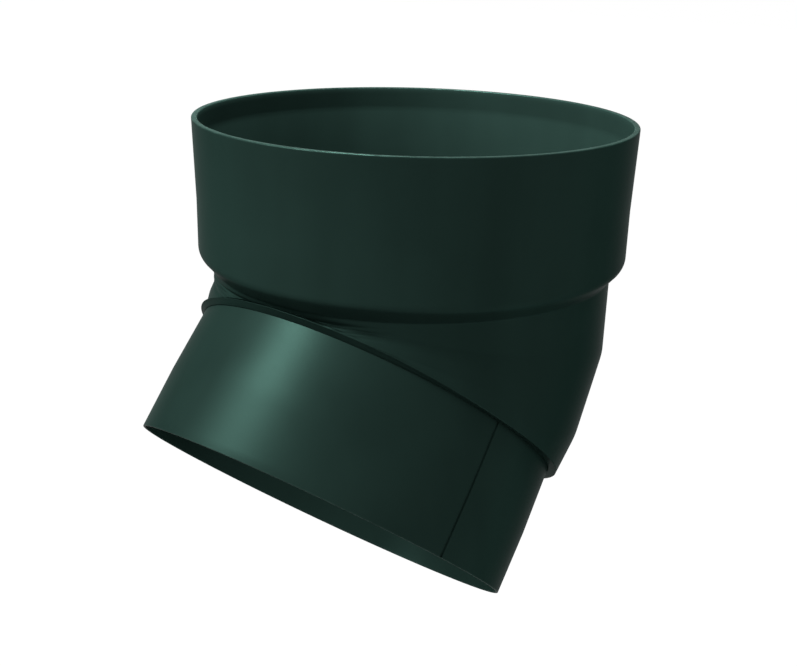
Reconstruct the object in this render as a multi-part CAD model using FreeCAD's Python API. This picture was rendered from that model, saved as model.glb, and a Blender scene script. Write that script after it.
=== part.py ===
import FreeCAD, Part
import os
from math import sin, cos, tan, radians, degrees, pi

# Round downspout elbow for a 100 mm rainwater pipe, in painted sheet steel.
# Units are millimetres. Z is the axis of the upper pipe and points up, and the
# lower pipe leaves towards +X and down. The origin is on the socket's axis, at
# the foot of its straight band, where the shoulder begins.

# sheet and folds
sheet = 0.6                 # thickness of the painted steel sheet
hem_thickness = 1.4         # socket rim, sheet rolled inwards on itself
lip_height = 1.8            # fold at the knee's lower end, along the pipe
round_flats = 8             # flats on a full turn of a small rounding

# socket
seat_radius = 54.4          # outside, in the straight band at the bottom
mouth_flare = 0.6           # the rim's outside radius is larger by this
socket_depth = 32.2         # from the seat to the top of the rim
seat_band = 12.0            # height of the straight band
shoulder_drop = 5.4         # height of the step down to the neck
shoulder_width = 3.55       # the neck's outside radius is smaller by this
shoulder_corner = 0.9       # rounding inside, where the band turns into the step
corner_drop = 0.75          # that corner's point, below the seat
crease_step = 0.2           # the step ends this much outside the neck

# knee
bend = 40.0                 # angle between the two pipe axes, degrees
throat_top = 3.0            # from the neck's wall to the pivot line, at the throat
throat_foot = 0.9           # from the lower end's wall to the pivot line, there
neck_draw = 0.15            # the lower end's outside radius is smaller by this
first_kink = 14.8           # bend at the middle of the upper kink, degrees
second_kink = 31.4          # bend at the middle of the lower kink
kink_width = 1.9            # half width of a kink's flattened corner, degrees
overshoot = 1.9             # at the lower kink the tube lies this much further back
ring_points = 24            # points on each section ring

# spigot tube
lip_fold = 2.2              # width of the folded lip, out to the knee's wall
spigot_flare = 0.6          # the free end's outside radius is larger by this
spigot_length = 32.9        # from the knee's lower end to the free end
spigot_band = 16.0          # straight band at the free end
spigot_inset = 1.5          # length inside the knee
lap_angle = 71.2            # seam position round the tube, from the throat
lap_width = 9.0             # width of the overlap on the inside
seam_width = 0.55           # open line that the outer sheet edge leaves
seam_depth = 0.35

bend_angle = radians(bend)
neck_radius = seat_radius - shoulder_width
mouth_radius = seat_radius + mouth_flare
lip_radius = neck_radius - neck_draw
grip_radius = lip_radius - lip_fold
spigot_radius = grip_radius + spigot_flare
neck_level = -shoulder_drop
# The neck plane and the lip plane meet in the pivot line, parallel to Y.
neck_reach = neck_radius + throat_top
lip_reach = lip_radius + throat_foot
lip_centre = FreeCAD.Vector(
    neck_reach - lip_reach * cos(bend_angle), 0, neck_level - lip_reach * sin(bend_angle))


def turned(points):
    """Turn a closed outline of (radius, height) pairs into a solid round Z."""
    corners = [FreeCAD.Vector(r, 0, z) for r, z in points]
    corners.append(corners[0])
    face = Part.Face(Part.makePolygon(corners))
    return face.revolve(FreeCAD.Vector(0, 0, 0), FreeCAD.Vector(0, 0, 1), 360)


def rounding(centre, radius, start, end):
    """Points of a small arc about a (radius, height) centre, in narrow flats."""
    flats = max(2, round(round_flats * abs(end - start) / (2 * pi)))
    turns = [start + (end - start) * k / flats for k in range(flats + 1)]
    return [(centre[0] + radius * cos(a), centre[1] + radius * sin(a)) for a in turns]


def socket_plug(offset):
    """Solid bounded by the socket's wall, moved inwards by the offset."""
    top = socket_depth - hem_thickness / 2
    seat = FreeCAD.Vector(seat_radius - offset, -corner_drop, 0)
    foot = FreeCAD.Vector(neck_radius + crease_step - offset, neck_level, 0)
    # Round the corner between the straight band and the step.
    corner = shoulder_corner + sheet - offset
    turn = (foot - seat).getAngle(FreeCAD.Vector(0, -1, 0))
    centre = (seat.x - corner, seat.y + corner * tan(turn / 2))
    bow = rounding(centre, corner, -turn, 0)
    return turned([(0, neck_level), (foot.x, foot.y)] + bow
                  + [(seat.x, seat_band), (mouth_radius - offset, top), (0, top)])


def rim_roll():
    """Tight roll at the mouth, seen as one thick rounded rim."""
    radius = hem_thickness / 2
    centre = (mouth_radius - radius, socket_depth - radius)
    return turned(rounding(centre, radius, 0, 2 * pi)[:-1])


def meeting(a, b, span, theta):
    """Reach at a bend angle on the straight line between two reaches."""
    return a * b * sin(span) / (a * sin(theta) + b * sin(span - theta))


def wall_reach(theta, around, radius):
    """Distance from the pivot line to the knee's wall, whose kinks are sharp."""
    first, second = radians(first_kink), radians(second_kink)
    upper = neck_reach - radius * cos(around)
    lower = lip_reach - radius * cos(around)
    at_first = upper / cos(first)
    at_second = (lower + overshoot) / cos(bend_angle - second)
    if theta <= first:
        return upper / cos(theta)
    if theta <= second:
        return meeting(at_first, at_second, second - first, theta - first)
    return meeting(at_second, lower, bend_angle - second, theta - second)


def section_ring(theta, offset):
    """Cross-section of the knee in the plane at one bend angle."""
    radius = neck_radius - neck_draw * theta / bend_angle - offset
    points = []
    for k in range(ring_points):
        around = 2 * pi * k / ring_points - pi
        reach = wall_reach(theta, around, radius)
        points.append(FreeCAD.Vector(
            neck_reach - reach * cos(theta), radius * sin(around),
            neck_level - reach * sin(theta)))
    curve = Part.BSplineCurve()
    curve.interpolate(Points=points, PeriodicFlag=True,
                      Parameters=[k / ring_points for k in range(ring_points + 1)])
    return Part.Wire([curve.toShape()])


def knee_plug(offset):
    """Solid bounded by the knee's wall: straight gores between flattened kinks."""
    stations = [0.0]
    for kink in (first_kink, second_kink):
        stations += [kink - kink_width, kink + kink_width]
    stations.append(bend)
    rings = [section_ring(radians(station), offset) for station in stations]
    return Part.makeLoft(rings, True, True)


def along_spigot(shape):
    """Move a shape drawn round Z so that Z runs up the spigot from the lip."""
    shape.Placement = FreeCAD.Placement(
        lip_centre, FreeCAD.Rotation(FreeCAD.Vector(0, 1, 0), -bend))
    return shape


def knee_body():
    """Socket, shoulder and knee: one drawn sheet with two folded edges."""
    outside = knee_plug(0.0).fuse(socket_plug(0.0))
    # The hollow narrows to the spigot where the lower edge is folded in.
    fold = along_spigot(Part.makeCylinder(2 * lip_radius, 2 * lip_height,
                                          FreeCAD.Vector(0, 0, -lip_height)))
    grip = along_spigot(Part.makeCylinder(grip_radius, 2 * lip_height,
                                          FreeCAD.Vector(0, 0, -lip_height)))
    hollow = knee_plug(sheet).cut(fold).fuse([grip, socket_plug(sheet)])
    return outside.cut(hollow).fuse(rim_roll()).removeSplitter()


def spigot_tube():
    """Rolled tube with a lap seam, slightly opened towards its free end."""
    outer = [(grip_radius, spigot_inset), (grip_radius, 0),
             (spigot_radius, spigot_band - spigot_length), (spigot_radius, -spigot_length)]
    tube = turned(outer + [(r - sheet, z) for r, z in reversed(outer)])
    # inner layer of the overlap
    half = degrees(lap_width / spigot_radius) / 2
    low = -spigot_length + sheet
    face_points = [(grip_radius - 2 * sheet, spigot_inset - sheet),
                   (grip_radius - 2 * sheet, 0),
                   (spigot_radius - 2 * sheet, spigot_band - spigot_length),
                   (spigot_radius - 2 * sheet, low),
                   (spigot_radius - sheet / 2, low),
                   (spigot_radius - sheet / 2, spigot_band - spigot_length),
                   (grip_radius - sheet / 2, 0),
                   (grip_radius - sheet / 2, spigot_inset - sheet)]
    corners = [FreeCAD.Vector(r, 0, z) for r, z in face_points]
    strip = Part.Face(Part.makePolygon(corners + corners[:1])).revolve(
        FreeCAD.Vector(0, 0, 0), FreeCAD.Vector(0, 0, 1), 2 * half)
    strip.rotate(FreeCAD.Vector(0, 0, 0), FreeCAD.Vector(0, 0, 1), lap_angle)
    # open line beside the outer edge
    groove = Part.makeBox(2 * seam_depth, seam_width, spigot_length * 2,
                          FreeCAD.Vector(spigot_radius - seam_depth, -seam_width / 2,
                                         -1.5 * spigot_length))
    groove.rotate(FreeCAD.Vector(0, 0, 0), FreeCAD.Vector(0, 0, 1), lap_angle)
    return along_spigot(tube.fuse(strip).cut(groove).removeSplitter())


os.makedirs("parts", exist_ok=True)
pieces = {"knee_body": knee_body(), "spigot_tube": spigot_tube()}
for name, shape in pieces.items():
    solid = shape.Solids[0]
    print(name, len(shape.Solids), "solid", solid.isValid(), round(solid.Volume, 1), "mm3",
          solid.BoundBox)
    solid.exportStep("parts/" + name + ".step")
common = pieces["knee_body"].common(pieces["spigot_tube"])
print("shared volume", round(common.Volume, 4))
print("spigot axis from", lip_centre, "pin middle at",
      lip_centre + FreeCAD.Vector(sin(bend_angle), 0, -cos(bend_angle))
      * (spigot_length - spigot_band / 2))
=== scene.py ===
# %% [markdown]
# # A painted steel downspout elbow
# The elbow turns rainwater from a gutter pipe by forty degrees. It is drawn from
# thin sheet: a rimmed socket on top, a smooth folded knee, and a rolled tube, the
# spigot, that goes into the pipe below. Everything here is in metres, in the
# frame of the measured solids: Z is the socket's axis, and the origin lies on
# it at the foot of the socket's straight band.

# %% Load the measured solids
import bpy
from math import sin, cos, tan, radians, degrees, pi
from mathutils import Matrix, Vector


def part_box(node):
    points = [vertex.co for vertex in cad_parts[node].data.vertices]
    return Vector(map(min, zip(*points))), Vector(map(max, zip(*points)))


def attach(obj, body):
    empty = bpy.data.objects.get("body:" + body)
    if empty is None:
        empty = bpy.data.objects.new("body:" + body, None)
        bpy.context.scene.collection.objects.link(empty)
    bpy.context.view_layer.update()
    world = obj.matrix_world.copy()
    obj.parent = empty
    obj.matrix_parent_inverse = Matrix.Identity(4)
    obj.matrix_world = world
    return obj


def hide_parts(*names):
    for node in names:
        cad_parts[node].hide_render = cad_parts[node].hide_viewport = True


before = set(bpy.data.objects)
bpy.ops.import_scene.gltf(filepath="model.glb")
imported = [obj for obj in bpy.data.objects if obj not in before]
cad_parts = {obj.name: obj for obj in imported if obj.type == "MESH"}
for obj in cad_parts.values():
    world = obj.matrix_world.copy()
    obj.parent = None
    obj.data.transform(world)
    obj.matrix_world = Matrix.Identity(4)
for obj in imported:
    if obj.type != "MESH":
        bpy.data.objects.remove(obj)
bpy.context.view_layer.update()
knee_low, knee_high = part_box("knee_body")
print("knee and socket from", tuple(knee_low), "to", tuple(knee_high))

# %% [markdown]
# ## Sums with wires
# Node trees are easier to read as sums than as boxes. The small class below
# wraps one socket of a tree. Adding or multiplying two wires makes the Math
# node, and one method makes any other node.


# %% Wires
class Wire:
    """A value in a node tree, used in ordinary sums."""

    def __init__(self, tree, socket=None):
        self.tree, self.socket = tree, socket

    def node(self, kind, settings=None, inputs=None, output=0):
        """Add a node: first its settings, then the values or wires of its sockets."""
        made = self.tree.nodes.new(kind)
        for name, value in (settings or {}).items():
            setattr(made, name, value)
        for name, value in (inputs or {}).items():
            if isinstance(value, Wire):
                self.tree.links.new(value.socket, made.inputs[name])
            else:
                made.inputs[name].default_value = value
        return Wire(self.tree, made.outputs[output])

    def maths(self, operation, *others):
        values = dict(enumerate((self,) + others))
        return self.node("ShaderNodeMath", {"operation": operation}, values)

    def __add__(self, other):
        return self.maths("ADD", other)

    __radd__ = __add__

    def __sub__(self, other):
        return self.maths("SUBTRACT", other)

    def __rsub__(self, other):
        return self.node("ShaderNodeMath", {"operation": "SUBTRACT"}, {0: other, 1: self})

    def __mul__(self, other):
        return self.maths("MULTIPLY", other)

    __rmul__ = __mul__

    def __truediv__(self, other):
        return self.maths("DIVIDE", other)

    def __rtruediv__(self, other):
        return self.node("ShaderNodeMath", {"operation": "DIVIDE"}, {0: other, 1: self})

    def clamp(self):
        return self.node("ShaderNodeClamp", inputs={"Value": self})

    def split(self):
        """The three parts of a vector."""
        made = self.tree.nodes.new("ShaderNodeSeparateXYZ")
        self.tree.links.new(self.socket, made.inputs[0])
        return [Wire(self.tree, out) for out in made.outputs]


print("wires can be added, subtracted, multiplied and divided")


# %% Helpers on wires
def joined(x, y, z):
    """A vector from its three parts."""
    return x.node("ShaderNodeCombineXYZ", inputs={0: x, 1: y, 2: z})


def ramp(value, start, end):
    """Zero below the start, one above the end, smooth between them."""
    return value.node("ShaderNodeMapRange", {"interpolation_type": "SMOOTHSTEP"}, {
        "Value": value, "From Min": start, "From Max": end})


def blend(first, second, share):
    """A value on the way from the first to the second."""
    return first + (second - first) * share


def bell(offset, sharpness=1.0):
    """One where the offset is zero, falling smoothly to nothing on both sides."""
    return (offset * offset * -sharpness).maths("EXPONENT")


print("wires can be joined, ramped, blended and turned into a bell")

# %% [markdown]
# ## Sizes
# These are the same driving sizes as on the drawing, in metres. Radii are to the
# outside of the sheet. Heights are measured up from the foot of the socket's
# straight band. The knee turns about a pivot line a little outside the throat,
# so the place of its lower end follows from two radii and the bend.

# %% Sizes of the socket
MM = 0.001
sheet = 0.6 * MM
seat_radius, band_height = 54.4 * MM, 12.0 * MM
mouth_flare, mouth_height = 0.6 * MM, 32.2 * MM
shoulder_width, shoulder_drop = 3.55 * MM, 5.4 * MM
mouth_radius = seat_radius + mouth_flare
neck_radius = seat_radius - shoulder_width
neck_level = -shoulder_drop
print("radius at the mouth", round(mouth_radius / MM, 2), "mm, at the neck",
      round(neck_radius / MM, 2), "mm")

# %% Sizes of the knee and its lip
bend = radians(40.0)
throat_top, throat_foot, neck_draw = 3.0 * MM, 0.9 * MM, 0.15 * MM
lip_height, lip_fold, lip_edge = 1.8 * MM, 2.2 * MM, 1.1 * MM
lip_radius = neck_radius - neck_draw
grip_radius = lip_radius - lip_fold
pivot_x = neck_radius + throat_top
lip_reach = lip_radius + throat_foot
lip_out = pivot_x - lip_reach * cos(bend)
lip_down = lip_reach * sin(bend) - neck_level
knee_length = pivot_x * bend
print("lip centre", round(lip_out / MM, 2), "mm out,", round(lip_down / MM, 2), "mm down")

# %% [markdown]
# ## The blank
# A sheet-metal worker turns the socket on a straight tube before the knee is
# bent. The same order works here. First comes the wall's section: one closed
# outline of (radius, height) points, with the rolled rim at the top and the
# folded lip at the bottom. Curved parts are sampled finely, so that the paint's
# highlights run smoothly over them. A point also carries a mark, which tells the
# knee's tree later what to do with it.


# %% Lines and arcs
def arc(centre, radius, start, end, steps):
    """Points on an arc, angles in degrees."""
    turns = [radians(start + (end - start) * k / steps) for k in range(steps + 1)]
    return [(centre[0] + radius * cos(a), centre[1] + radius * sin(a)) for a in turns]


def run(start, end, steps):
    """Points on a straight stretch, without its last one."""
    return [(start[0] + (end[0] - start[0]) * k / steps, start[1] + (end[1] - start[1]) * k / steps)
            for k in range(steps)]


def marked(points, mark):
    """Section points, each with its mark between its radius and its height."""
    return [(radius, mark, height) for radius, height in points]


print("a quarter of an arc in six steps:", len(arc((0, 0), MM, 0, 90, steps=6)), "points")

# %% [markdown]
# ## The wall
# The outer and the inner face are the same curve at two offsets, as on real
# sheet. From the lip upwards it is straight, then hollow above the neck, then a
# step with a soft corner, then the band in which the upper pipe sits, and last
# the slightly flared mouth.

# %% Faces of the wall
corner_drop, corner_round, neck_round = 0.75 * MM, 2.8 * MM, 1.2 * MM
step_lead = 0.4 * MM    # how far out the hollow rounding moves the step's foot
band_foot = 0.8 * MM    # the straight band starts here, above the rounded corner


def shoulder(offset):
    """Hollow rounding above the neck, the step, and the rounded corner under the band."""
    seat = Vector((seat_radius - offset, -corner_drop))
    turn = Vector((0, 1)).angle(seat - Vector((neck_radius - offset + step_lead, neck_level)))
    hollow = neck_round + offset
    foot = arc((neck_radius - offset + hollow, neck_level), hollow,
               180, 180 - degrees(turn), steps=6)
    corner = corner_round + sheet - offset
    middle = (seat.x - corner, seat.y + corner * tan(turn / 2))
    bow = arc(middle, corner, -degrees(turn), 0, steps=12)
    return foot[1:-1] + run(foot[-1], bow[0], steps=6) + bow


def wall(offset, knee_rows, top):
    """Outer or inner face, from the knee's lower end up to a height below the rim."""
    low = (lip_radius - offset, neck_level - knee_length)
    high = (neck_radius - offset, neck_level)
    band = (seat_radius - offset, band_height)
    rim = (mouth_radius - offset, top)
    return (run(low, high, knee_rows) + [high] + shoulder(offset)
            + run((seat_radius - offset, band_foot), band, steps=8)
            + run(band, rim, steps=12) + [rim])


print("shoulder of the outer face:", len(shoulder(0.0)), "points")

# %% [markdown]
# ## Rim and lip
# At the mouth the sheet is rolled inwards on itself, which stiffens the edge and
# hides the cut. It makes a bead about as thick as two sheets, with two tight
# round corners, and below it the roll runs out into the wall. At the knee's
# lower end the sheet is folded inwards over the spigot. That fold is the thin
# step under the knee. Its underside rises outwards a little, up to a tight
# round edge.

# %% Section of the wall
hem, hem_drop, hem_round, hem_tail = 1.4 * MM, 0.9 * MM, 0.3 * MM, 5.0 * MM
edge_round, ledge_width = 0.12 * MM, 1.0 * MM
OUTER_ROWS, INNER_ROWS = 128, 36
CARRIED = -1.0      # mark of the lip's points, which keep their shape


def hem_outline():
    """The rim from its outer to its inner side, then the hem's smooth run-out below."""
    outer, inner = mouth_radius - hem_round, mouth_radius - hem + hem_round
    high, low = mouth_height - hem_round, mouth_height - hem_drop
    return (arc((outer, high), hem_round, 0, 90, steps=7)
            + arc((inner, high), hem_round, 90, 180, steps=7)
            + run((mouth_radius - hem, low), (mouth_radius - sheet, low - hem_tail), steps=8))


lip_level = neck_level - knee_length
grip_foot = (grip_radius, lip_level)
fold_top = (grip_radius, lip_level + lip_height)
lip_face = run(grip_foot, (lip_radius - edge_round, lip_level + lip_edge - edge_round), steps=8)
lip_corner = arc((lip_radius - edge_round, lip_level + lip_edge), edge_round, -90, 0, steps=3)
fold_inside = (run((grip_radius + ledge_width, fold_top[1]), fold_top, steps=3)
               + run(fold_top, grip_foot, steps=4))
# The marks of the two faces say how high above the lip's plane each one ends.
section = (
    marked(lip_face + lip_corner, CARRIED)
    + marked(wall(0.0, OUTER_ROWS, mouth_height - 2 * hem_round) + hem_outline(), lip_edge)
    + marked(reversed(wall(sheet, INNER_ROWS, mouth_height - hem_drop - hem_tail)), lip_height)
    + marked(fold_inside, CARRIED))
print("wall section:", len(section), "points")

# %% [markdown]
# ## Turning a section
# Geometry Nodes spin the section: a grid has one row for each point of the
# section and one column for each step round the axis. Every grid point looks up
# its section point and is moved there. Where a surface needs finer columns,
# such as beside a seam, the steps are crowded towards that angle.

# %% Turning tree
TURN_INPUTS = ["Columns", "Crowding", "Crowded angle", "Material"]
SOCKET_KINDS = {"Columns": "Int", "Material": "Material"}


def new_tree(name, titles):
    """A Geometry Nodes tree with named inputs, and one wire for each."""
    tree = bpy.data.node_groups.new(name, "GeometryNodeTree")
    face = tree.interface
    face.new_socket(name="Geometry", in_out="OUTPUT", socket_type="NodeSocketGeometry")
    face.new_socket(name="Geometry", in_out="INPUT", socket_type="NodeSocketGeometry")
    for title in titles:
        kind = SOCKET_KINDS.get(title, "Float")
        face.new_socket(name=title, in_out="INPUT", socket_type="NodeSocket" + kind)
    start = tree.nodes.new("NodeGroupInput")
    return tree, {out.name: Wire(tree, out) for out in start.outputs if out.name}


def turn_tree(name, titles):
    """A tree that spins the incoming section round Z, with what the next nodes need."""
    tree, given = new_tree(name, titles)
    any_wire = Wire(tree)
    profile, columns = given["Geometry"], given["Columns"]
    rows = any_wire.node("GeometryNodeAttributeDomainSize", {"component": "MESH"},
                         {"Geometry": profile})
    grid = any_wire.node("GeometryNodeMeshGrid", inputs={
        "Size X": 1.0, "Size Y": 1.0, "Vertices X": columns + 1, "Vertices Y": rows + 1})
    index = any_wire.node("GeometryNodeInputIndex")
    column = (index / (rows + 1)).maths("FLOOR")
    row = index - column * (rows + 1)
    place = any_wire.node("GeometryNodeSampleIndex", {"data_type": "FLOAT_VECTOR"}, {
        "Geometry": profile, "Value": any_wire.node("GeometryNodeInputPosition"),
        "Index": row.maths("MODULO", rows)})
    radius, mark, height = place.split()
    even = column / columns * (2 * pi)
    turned = even - given["Crowding"] * even.maths("SINE")
    angle = turned + given["Crowded angle"]
    spot = joined(radius * angle.maths("COSINE"), radius * angle.maths("SINE"), height)
    return tree, given, grid, spot, mark, turned


print("every turned piece has the inputs", TURN_INPUTS)

# %% [markdown]
# ## From a tree to a piece
# Both pieces end in the same way. The grid's points take their places, and its
# first and last rows and columns are welded, so that the sheet is closed. The
# piece is kept as a plain mesh, because the export drops what only a modifier
# shows.

# %% Finishing a piece
WELD = 2e-7     # points nearer than this are one point


def finish_tree(tree, given, grid, place):
    """Move the grid's points, close the seams, shade smoothly, and give the paint."""
    any_wire = Wire(tree)
    moved = any_wire.node("GeometryNodeSetPosition", inputs={"Geometry": grid, "Position": place})
    whole = any_wire.node("GeometryNodeMergeByDistance", inputs={
        "Geometry": moved, "Distance": WELD})
    smooth = any_wire.node("GeometryNodeSetShadeSmooth", inputs={
        "Geometry": whole, "Shade Smooth": True})
    real = any_wire.node("GeometryNodeRealizeInstances", inputs={"Geometry": smooth})
    painted = any_wire.node("GeometryNodeSetMaterial", inputs={
        "Geometry": real, "Material": given["Material"]})
    end = tree.nodes.new("NodeGroupOutput")
    tree.links.new(painted.socket, end.inputs[0])
    return tree


def make_piece(name, points, tree, values):
    """Run a tree on a section and keep the result as a plain mesh."""
    base = bpy.data.meshes.new(name + "_section")
    base.from_pydata(points, [], [])
    piece = bpy.data.objects.new(name, base)
    bpy.context.scene.collection.objects.link(piece)
    tool = piece.modifiers.new("shape", "NODES")
    tool.node_group = tree
    for item in tree.interface.items_tree:
        if item.item_type == "SOCKET" and item.in_out == "INPUT" and item.name in values:
            tool[item.identifier] = values[item.name]
    bpy.context.view_layer.update()
    ready = piece.evaluated_get(bpy.context.evaluated_depsgraph_get())
    mesh = bpy.data.meshes.new_from_object(ready)
    piece.modifiers.clear()
    piece.data = mesh
    mesh.name = name
    print(name, len(mesh.vertices), "points", len(mesh.polygons), "faces")
    return piece


print("points within", round(WELD / MM, 5), "mm are welded")

# %% [markdown]
# ## Wear, patches and a painted rim highlight
# The sheet comes from a coil that is painted dark moss green before it is
# formed. Noise on Object coordinates shifts the colour and the gloss slightly,
# as rolling and handling do. At the two free edges the coat is thinner and
# rubbed, so a mask made from height and from distance along the spigot lightens
# it there. At the rim the lighter colour is also a painted highlight, standing
# in for the light that the rim's edge catches. A photo texture would show the
# same without sums, but it would need to be wrapped round the knee.

# %% Noise, rubbed edges and painted rim highlight
spigot_length = 32.9 * MM
NOISE_MEAN = 0.5
RUBBED_AND_HIGHLIGHT_WIDTH = 0.4 * MM
EDGE_PATCH_SCALE, EDGE_PATCH_SHARE = 300, 0.6


def noise(place, scale, detail, stretch=(1, 1, 1)):
    """Soft noise about its mean, with about as many swings to the metre as its scale."""
    spot = place.node("ShaderNodeMapping", inputs={"Vector": place, "Scale": stretch})
    return place.node("ShaderNodeTexNoise", inputs={
        "Vector": spot, "Scale": scale, "Detail": detail})


def patches(value, softness):
    """Noise drawn apart into zero and one, with soft borders."""
    return ramp(value, NOISE_MEAN - softness, NOISE_MEAN + softness)


def rubbed_edges_and_rim_highlight(place):
    """Up to one at the rim and at the spigot's end, in patches, and zero elsewhere: worn coat at both,
    and a painted highlight at the rim.
    """
    x, _, z = place.split()
    past_lip = (x - lip_out) * sin(bend) - (z + lip_down) * cos(bend)
    # The rim's band is worn coat and also a painted highlight of the light on its edge; the band at
    # the spigot's end is worn coat.
    rim = ramp(z, mouth_height - RUBBED_AND_HIGHLIGHT_WIDTH, mouth_height)
    end = ramp(past_lip, spigot_length - RUBBED_AND_HIGHLIGHT_WIDTH, spigot_length)
    edge_patches = patches(noise(place, EDGE_PATCH_SCALE, 2), softness=0.1)
    return rim.maths("MAXIMUM", end) * (edge_patches * EDGE_PATCH_SHARE + (1.0 - EDGE_PATCH_SHARE))


# Both bands are worn coat, and the one at the rim is also a painted highlight.
print("the coat is rubbed over", RUBBED_AND_HIGHLIGHT_WIDTH / MM, "mm at both free edges")

# %% [markdown]
# ## The paint
# The coat is satin: it holds a little metal flake, so the sheen keeps the
# paint's own colour. On the model that is a dark base colour with a part of
# Metallic. The plain white reflection of a glossy coat is switched off, and the
# tint of the flat-angle reflection is lowered, because both would turn the dark
# green grey. A fine noise drives a Bump node for the grain of the coat.

# %% Paint
DEEP_MOSS, LIGHT_MOSS = (0.0110, 0.0243, 0.0203, 1), (0.0132, 0.0291, 0.0243, 1)
# Lighter colour of the worn edges, which at the rim also stands for a painted highlight.
RUBBED_AND_HIGHLIGHT_MOSS, RUBBED_AND_HIGHLIGHT_SHARE = (0.030, 0.060, 0.050, 1), 0.3
FLAKE, SATIN, FLAT_TINT = 0.38, 0.38, (0.45, 0.45, 0.45, 1)
CLOUD_SCALE, STREAK_SCALE, GRAIN_SCALE = 24, 80, 1900
STREAK_STRETCH, CLOUD_SHARE = (1, 1, 0.15), 0.6
CLOUD_ROUGHNESS, GRAIN_ROUGHNESS, RUBBED_GLOSS = 0.10, 0.06, 0.06
GRAIN_HEIGHT = 0.006 * MM


def mixed(share, first, second):
    """A colour between two colours."""
    return share.node("ShaderNodeMix", {"data_type": "RGBA"}, {
        "Factor": share, 6: first, 7: second}, 2)


def paint_material(name):
    """Dark moss green satin coat, uneven in colour and gloss, worn at the edges, with a painted
    highlight at the rim.
    """
    material = bpy.data.materials.new(name)
    material.use_nodes = True
    coat = material.node_tree.nodes["Principled BSDF"]
    place = Wire(material.node_tree).node("ShaderNodeTexCoord", output="Object")
    rubbed_and_highlit = rubbed_edges_and_rim_highlight(place)
    cloud, grain = noise(place, CLOUD_SCALE, 3), noise(place, GRAIN_SCALE, 2)
    streak = noise(place, STREAK_SCALE, 2, STREAK_STRETCH)
    uneven = patches(cloud * CLOUD_SHARE + streak * (1.0 - CLOUD_SHARE), softness=0.15)
    colour = mixed(uneven, DEEP_MOSS, LIGHT_MOSS)
    # The free edges are lightened for worn coat, and the rim also for a painted highlight.
    colour = mixed(rubbed_and_highlit * RUBBED_AND_HIGHLIGHT_SHARE, colour, RUBBED_AND_HIGHLIGHT_MOSS)
    rough = ((cloud - NOISE_MEAN) * CLOUD_ROUGHNESS + (grain - NOISE_MEAN) * GRAIN_ROUGHNESS
             - rubbed_and_highlit * RUBBED_GLOSS + SATIN)
    bump = place.node("ShaderNodeBump", inputs={
        "Height": grain, "Strength": 1.0, "Distance": GRAIN_HEIGHT})
    for socket, wire in (("Base Color", colour), ("Roughness", rough), ("Normal", bump)):
        material.node_tree.links.new(wire.socket, coat.inputs[socket])
    coat.inputs["Metallic"].default_value = FLAKE
    coat.inputs["Specular IOR Level"].default_value = 0.0
    coat.inputs["Specular Tint"].default_value = FLAT_TINT
    return material


paint = paint_material("moss_green_paint")
print("paint nodes:", len(paint.node_tree.nodes))

# %% [markdown]
# ## The knee's fan
# A press bends the blank in a die with two soft kinks, so the wall runs straight
# in three gores. It is easiest to think of a fan of planes through a pivot line
# beside the throat. A point of the blank goes to the plane whose angle matches
# its distance below the neck, and there to the reach that the wall has. One
# rule bends both faces, so the sheet stays about evenly thick. Bending with a
# Simple Deform modifier would give an even curve, without the kinks.

# %% Stations of the fan
KNEE_INPUTS = ["Bend", "Neck level", "Knee length", "Pivot distance", "Lip reach", "First kink",
               "Second kink", "Overshoot", "Kink softness", "Throat width", "Throat ease"]


def knee_stations(given, x, side):
    """Reach and angle from the pivot line at the neck, at both kinks and at the lip."""
    neck, lip = given["Pivot distance"] - x, given["Lip reach"] - x
    # The tube is drawn back less beside the throat than round the rest of the knee.
    drawn = given["Overshoot"] * (1.0 - bell(side / given["Throat width"]) * given["Throat ease"])
    first, second = given["First kink"], given["Second kink"]
    at_first = neck / first.maths("COSINE")
    at_second = (lip + drawn) / (given["Bend"] - second).maths("COSINE")
    return [(neck, 0.0), (at_first, first), (at_second, second), (lip, given["Bend"])]


def end_angle(given, stations, ending):
    """Angle at which a face is as high above the lip's plane as it has to end."""
    heights = [reach * (given["Bend"] - angle).maths("SINE") for reach, angle in stations]
    end_x = stations[0][0]
    end_z = end_x * 0.0
    for above, below, (reach, angle) in zip(heights, heights[1:], stations[1:]):
        share = ((above - ending) / (above - below)).clamp()
        end_x = blend(end_x, reach * angle.maths("COSINE"), share)
        end_z = blend(end_z, reach * angle.maths("SINE"), share)
    return end_z.maths("ARCTAN2", end_x)


def wall_reach(given, stations, theta):
    """Reach of the wall at an angle of the fan: straight gores with soft kinks between."""
    neck = stations[0][0]
    # Seen from the pivot, the nearest gore counts, so the largest inverse reach is kept.
    nearest = theta.maths("COSINE")
    for (above, start), (below, end) in zip(stations[1:], stations[2:]):
        gore = (neck * (above * (theta - start).maths("SINE") + below * (end - theta).maths("SINE"))
                / (above * below * (end - start).maths("SINE")))
        nearest = nearest.maths("SMOOTH_MAX", gore, given["Kink softness"])
    return neck / nearest


print("the fan has", len(KNEE_INPUTS), "inputs")

# %% [markdown]
# ## Creases and lip
# The inside of a bend has too much metal. Here it gathers in three shallow
# creases that follow the neck, deepest a little to one side of the throat. The
# fold at the lower end is pressed in slightly on both sides of the throat, and
# its underside slopes at the front and is nearly flat at the back. All of these
# are small shifts of the same grid, so they need no sculpting, and their sizes
# stay open to change.

# %% Creases
CREASES = ["Crease 1", "Crease 2", "Crease 3"]
CREASE_INPUTS = ["Crease depth", "Crease width", "Crease side", "Crease spread", "Crease wander"]
SWAY_RATE, SWAY_STEP = 2.5, 7.0     # swings of a crease's course, and the next one's offset


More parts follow.
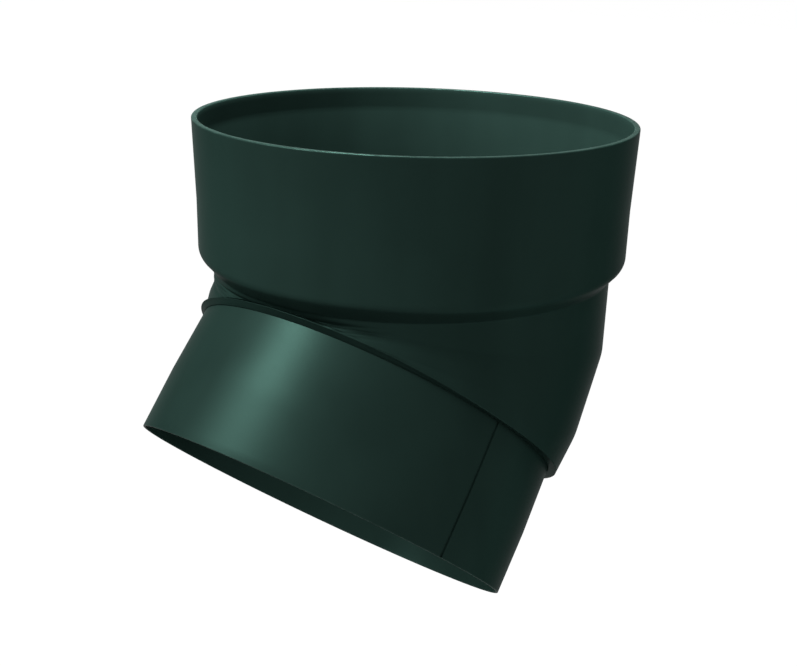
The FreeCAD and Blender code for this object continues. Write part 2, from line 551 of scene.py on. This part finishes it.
def creases(given, round_axis, below_neck):
    """Depth of the shallow valleys that follow the neck."""
    off_side = (round_axis - given["Crease side"]) / given["Crease spread"]
    valleys = []
    for count, title in enumerate(CREASES):
        sway = round_axis.node("ShaderNodeTexNoise", {"noise_dimensions": "1D"}, {
            "W": round_axis * SWAY_RATE + SWAY_STEP * count, "Scale": 1.0, "Detail": 1.0})
        course = given[title] + (sway - NOISE_MEAN) * given["Crease wander"]
        valleys.append(bell((below_neck - course) / given["Crease width"]))
    return sum(valleys) * bell(off_side, sharpness=0.5) * given["Crease depth"]


print(len(CREASES), "creases with", len(CREASE_INPUTS), "inputs in common")

# %% Lip
LIP_INPUTS = ["Press depth", "Press side", "Press spread", "Grip radius", "Lip radius", "Lip edge",
              "Slope end", "Flat start", "Flatness"]
PRESS_START = 0.55      # share of the knee's length at which the press begins
EDGE_MARGIN = 1.1       # heights under this many lip edges belong to the edge


def pressed_in(given, x, y, z):
    """The lip pressed in a little on both sides of the throat."""
    radius = (x * x + y * y).maths("SQRT")
    beside = (y.maths("ARCTAN2", x).maths("ABSOLUTE") - given["Press side"]) / given["Press spread"]
    length = given["Knee length"]
    to_lip = ramp(given["Neck level"] - z, length * PRESS_START, length)
    outward = ramp(radius, given["Grip radius"], given["Lip radius"])
    kept = 1.0 - bell(beside) * given["Press depth"] * to_lip * outward / radius
    return x * kept, y * kept


def sloped(given, height, side):
    """A height at the lip's edge, lowered towards the back. Greater heights stay."""
    behind = ramp(side, given["Slope end"], given["Flat start"])
    at_edge = height.maths("LESS_THAN", given["Lip edge"] * EDGE_MARGIN)
    return height * (1.0 - behind * given["Flatness"] * at_edge)


def carried_round(given, x, rise):
    """Place of the folded lip, turned about the pivot line without a change of shape."""
    sine, cosine = given["Bend"].maths("SINE"), given["Bend"].maths("COSINE")
    reach = given["Lip reach"]
    return (given["Pivot distance"] - reach * cosine + x * cosine - rise * sine,
            given["Neck level"] - reach * sine + x * sine + rise * cosine)


print("the lip has", len(LIP_INPUTS), "inputs")

# %% [markdown]
# ## The knee and its socket
# Now the parts come together in one tree. Above the neck the turned section is
# left as it is, below it the fan bends the wall, and the lip is carried round
# whole. The sizes go in by name, so a different elbow needs other numbers only.


# %% Knee
def knee_tree():
    """The turned section, bent over two kinks, with its creases and its folded lip."""
    tree, given, grid, spot, mark, _ = turn_tree(
        "turned and kneed wall", TURN_INPUTS + KNEE_INPUTS + CREASE_INPUTS + CREASES + LIP_INPUTS)
    level, length = given["Neck level"], given["Knee length"]
    x, y, z = spot.split()
    x, y = pressed_in(given, x, y, z)
    round_axis = y.maths("ARCTAN2", x)
    side = round_axis.maths("ABSOLUTE")
    ending = sloped(given, mark, side)
    down = (level - z) / length
    stations = knee_stations(given, x, side)
    theta = end_angle(given, stations, ending) * down.clamp()
    below_neck = theta * stations[0][0]
    reach = wall_reach(given, stations, theta) + creases(given, round_axis, below_neck)
    kneed = (given["Pivot distance"] - reach * theta.maths("COSINE"),
             level - reach * theta.maths("SINE"))
    lip = carried_round(given, x, sloped(given, z - (level - length), side))
    in_knee, in_lip = down.maths("GREATER_THAN", 0.0), ending.maths("LESS_THAN", 0.0)
    place_x, place_z = [blend(blend(straight, bent, in_knee), carried, in_lip)
                        for straight, bent, carried in zip((x, z), kneed, lip)]
    return finish_tree(tree, given, grid, joined(place_x, y, place_z))


fan_sizes = {
    "Bend": bend, "Neck level": neck_level, "Knee length": knee_length,
    "Pivot distance": pivot_x, "Lip reach": lip_reach, "First kink": radians(14.8),
    "Second kink": radians(31.4), "Overshoot": 1.9 * MM, "Kink softness": 0.015,
    "Throat width": radians(55), "Throat ease": 0.5}
crease_sizes = {
    "Crease 1": 1.2 * MM, "Crease 2": 2.3 * MM, "Crease 3": 3.6 * MM,
    "Crease depth": 0.45 * MM, "Crease width": 0.4 * MM, "Crease side": radians(-18),
    "Crease spread": radians(26), "Crease wander": 0.5 * MM}
lip_sizes = {
    "Press depth": 0.7 * MM, "Press side": radians(52), "Press spread": radians(28),
    "Grip radius": grip_radius, "Lip radius": lip_radius, "Lip edge": lip_edge,
    "Slope end": radians(25), "Flat start": radians(80), "Flatness": 0.85}
knee = make_piece("knee_shell", section, knee_tree(), {
    "Columns": 320, "Crowding": 0.4, "Crowded angle": 0.0, "Material": paint,
    **fan_sizes, **crease_sizes, **lip_sizes})
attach(knee, "root")
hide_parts("knee_body")

# %% [markdown]
# ## The spigot's section
# The spigot is a strip of the same sheet, rolled until its edges overlap. Its
# upper end sits in the lip's fold, and its last band is straight, so that the
# next pipe slides over it. The cut edge at the bottom is slightly rounded by the
# paint. The marks tell the outside from the inside, because the seam shows
# differently on each.

# %% Section of the spigot
spigot_flare, spigot_band, spigot_inset = 0.6 * MM, 16.0 * MM, 1.5 * MM
spigot_radius = grip_radius + spigot_flare
bore_radius, grip_bore = spigot_radius - sheet, grip_radius - sheet
OUTSIDE, INSIDE, PLAIN = 1.0, -1.0, 0.0
bottom, band_top = -spigot_length, spigot_band - spigot_length
cut_start = 0.9     # share of the sheet's thickness at which the rounded cut edge starts
outer_face = (run((spigot_radius, bottom + edge_round), (spigot_radius, band_top), steps=8)
              + run((spigot_radius, band_top), (grip_radius, 0), steps=8)
              + run((grip_radius, 0), (grip_radius, spigot_inset), steps=2))
top_edge = run((grip_radius, spigot_inset), (grip_bore, spigot_inset), steps=2)
inner_face = (run((grip_bore, spigot_inset - sheet), (grip_bore, 0), steps=2)
              + run((grip_bore, 0), (bore_radius, band_top), steps=8)
              + run((bore_radius, band_top), (bore_radius, bottom + sheet), steps=8)
              + [(bore_radius, bottom + sheet)])
cut_edge = ([(bore_radius, bottom + cut_start * sheet)]
            + arc((bore_radius + edge_round, bottom + edge_round), edge_round, 180, 270, steps=4)
            + arc((spigot_radius - edge_round, bottom + edge_round), edge_round, -90, 0, steps=4)[:-1])
spigot_section = (marked(outer_face, OUTSIDE) + marked(top_edge, PLAIN)
                  + marked(inner_face, INSIDE) + marked(cut_edge, PLAIN))
print("spigot section:", len(spigot_section), "points")

# %% [markdown]
# ## The seam
# Outside, the overlap shows as one narrow open line beside the outer sheet's
# edge. Inside, the second layer stands up by one sheet over nine millimetres.
# Both are made by moving points towards the axis, with steep soft steps at their
# sides, on a grid whose columns crowd towards the seam. A cut with a Boolean
# would leave long thin faces in the highlight.

# %% Spigot
SPIGOT_INPUTS = ["Bend", "Out", "Down", "Seam width", "Seam depth", "Seam slope", "Lap width", "Sheet"]
seam_angle = radians(71.2)


def spigot_tree():
    """The turned tube, with its open line and its lap, leaned to the lip."""
    tree, given, grid, spot, mark, turned = turn_tree("turned spigot", TURN_INPUTS + SPIGOT_INPUTS)
    x, y, z = spot.split()
    radius = (x * x + y * y).maths("SQRT")
    # Distance round the tube from the seam, positive on the lap's side.
    along = turned.maths("WRAP", pi, -pi) * radius
    half, slope, lap_width = given["Seam width"] * 0.5, given["Seam slope"], given["Lap width"]
    start = ramp(along, half * -1.0, slope - half)
    open_line = start - ramp(along, half - slope, half)
    lap = start - ramp(along, lap_width - slope, lap_width)
    is_outside = mark.maths("GREATER_THAN", OUTSIDE / 2)
    is_inside = mark.maths("LESS_THAN", INSIDE / 2)
    sunk = (is_outside * open_line * given["Seam depth"]
            + is_inside * lap * given["Sheet"]) / radius
    x, y = x * (1.0 - sunk), y * (1.0 - sunk)
    sine, cosine = given["Bend"].maths("SINE"), given["Bend"].maths("COSINE")
    place = joined(given["Out"] + x * cosine - z * sine, y, z * cosine + x * sine - given["Down"])
    return finish_tree(tree, given, grid, place)


spigot = make_piece("spigot_shell", spigot_section, spigot_tree(), {
    "Columns": 420, "Crowding": 0.9, "Crowded angle": seam_angle, "Material": paint,
    "Bend": bend, "Out": lip_out, "Down": lip_down, "Seam width": 0.8 * MM,
    "Seam depth": 0.42 * MM, "Seam slope": 0.22 * MM, "Lap width": 9.0 * MM, "Sheet": sheet})
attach(spigot, "root")
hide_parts("spigot_tube")

# %% [markdown]
# ## Floor and background
# A product picture like this is taken in a white sweep: floor and wall are one
# even white. The floor below is plain and pale. Where the eye sees it, most of
# it glows with the same white as the background, and the rest is lit by the
# lamps, so that the elbow's soft shadow stays.

# %% Floor
FLOOR_HALF, FLOOR_LEVEL, FLOOR_WHITE = 6.0, -0.35, (0.9, 0.9, 0.9, 1)
GLOW_SHARE, GLOW = 0.93, 1.06


def seen_directly(tree):
    """One for rays that show the background to the eye, in a mirror or through glass."""
    path = Wire(tree).node("ShaderNodeLightPath").socket.node.outputs
    camera, glossy, through = [Wire(tree, path["Is %s Ray" % kind])
                               for kind in ("Camera", "Glossy", "Transmission")]
    return (camera + glossy + through).clamp()


def sweep_material(name):
    """Pale floor that glows where it is seen."""
    material = bpy.data.materials.new(name)
    material.use_nodes = True
    tree = material.node_tree
    pale = tree.nodes["Principled BSDF"]
    pale.inputs["Base Color"].default_value = FLOOR_WHITE
    glow = Wire(tree).node("ShaderNodeEmission", inputs={"Strength": GLOW})
    sweep = Wire(tree).node("ShaderNodeMixShader", inputs={
        0: seen_directly(tree) * GLOW_SHARE, 1: Wire(tree, pale.outputs[0]), 2: glow})
    tree.links.new(sweep.socket, tree.nodes["Material Output"].inputs["Surface"])
    return material


floor_mesh = bpy.data.meshes.new("studio_floor")
floor_corners = [(FLOOR_HALF * x, FLOOR_HALF * y, FLOOR_LEVEL)
                 for x, y in ((-1, -1), (1, -1), (1, 1), (-1, 1))]
floor_mesh.from_pydata(floor_corners, [], [(0, 1, 2, 3)])
floor_mesh.materials.append(sweep_material("white_floor"))
floor = bpy.data.objects.new("studio_floor", floor_mesh)
bpy.context.scene.collection.objects.link(floor)
print("floor", 2 * FLOOR_HALF, "m wide at height", FLOOR_LEVEL)

# %% [markdown]
# ## The world
# The world is white to the eye and in reflections, as the walls of the sweep
# are. It gives only a little light of its own, so that the lamps can model the
# form. A ray switch keeps the two apart.

# %% World
SKY_LIGHT = 0.22
world = bpy.data.worlds.new("studio")
bpy.context.scene.world = world
world.use_nodes = True
background = world.node_tree.nodes["Background"]
strength = seen_directly(world.node_tree) * (1.0 - SKY_LIGHT) + SKY_LIGHT
world.node_tree.links.new(strength.socket, background.inputs["Strength"])
background.inputs["Color"].default_value = (1, 1, 1, 1)
print("world's own light", SKY_LIGHT)

# %% [markdown]
# ## Lamps
# The photo's lit side is on the left, with one broad bright band down the
# spigot and a wide sheen inside the mouth on the right. A large soft box high on
# the left gives the band, and a second one beside it widens it. A lower box
# lights the left side, a small one over the mouth lights the far wall, and a
# weak one behind on the right keeps the dark side readable.


# %% Lamps
def soft_box(name, place, aim, size, power):
    """A square soft box at a place, turned towards another, its power in watts."""
    light = bpy.data.lights.new(name, "AREA")
    light.shape, light.size, light.energy = "SQUARE", size, power
    lamp = bpy.data.objects.new(name, light)
    lamp.location = place
    lamp.rotation_euler = (Vector(place) - Vector(aim)).to_track_quat("Z", "Y").to_euler()
    bpy.context.scene.collection.objects.link(lamp)
    print(name, power, "W")


MIDDLE, SEAT, FAR_WALL = (0.03, 0, -0.05), (0, 0, 0), (-0.020, 0.048, 0.015)
soft_box("key_box", (0.459, -0.339, 0.630), MIDDLE, size=0.2, power=7.8)
soft_box("key_side_box", (0.500, -0.174, 0.665), MIDDLE, size=0.2, power=1.6)
soft_box("left_box", (0.590, -0.443, 0.425), SEAT, size=0.3, power=3.2)
soft_box("mouth_box", (0.012, -0.028, 0.130), FAR_WALL, size=0.03, power=0.6)
soft_box("back_box", (-0.685, 0.276, 0.425), SEAT, size=0.3, power=2.2)

# %% [markdown]
# ## Camera
# The camera stands where the photo was taken from. Its place and turn come from
# matching the ellipses of the mouth and of the spigot's end.

# %% Camera
camera_data = bpy.data.cameras.new("photo_camera")
camera_data.lens = 50.12
camera_data.sensor_width = 36.0
camera_data.sensor_fit = "HORIZONTAL"
camera_data.clip_start = 0.01
camera = bpy.data.objects.new("photo_camera", camera_data)
camera_place = Vector((0.22193, 0.16773, 0.07425))
right = Vector((-0.61788, 0.78587, 0.02511))
up = Vector((-0.25035, -0.22691, 0.94118))
forward = Vector((-0.74535, -0.57525, -0.33695))
camera_turn = Matrix((right, up, -forward)).transposed()
camera.matrix_world = Matrix.Translation(camera_place) @ camera_turn.to_4x4()
bpy.context.scene.collection.objects.link(camera)
bpy.context.scene.camera = camera
bpy.context.scene.view_settings.view_transform = "Standard"
print("camera", round(camera.location.length, 3), "m from the seat's centre")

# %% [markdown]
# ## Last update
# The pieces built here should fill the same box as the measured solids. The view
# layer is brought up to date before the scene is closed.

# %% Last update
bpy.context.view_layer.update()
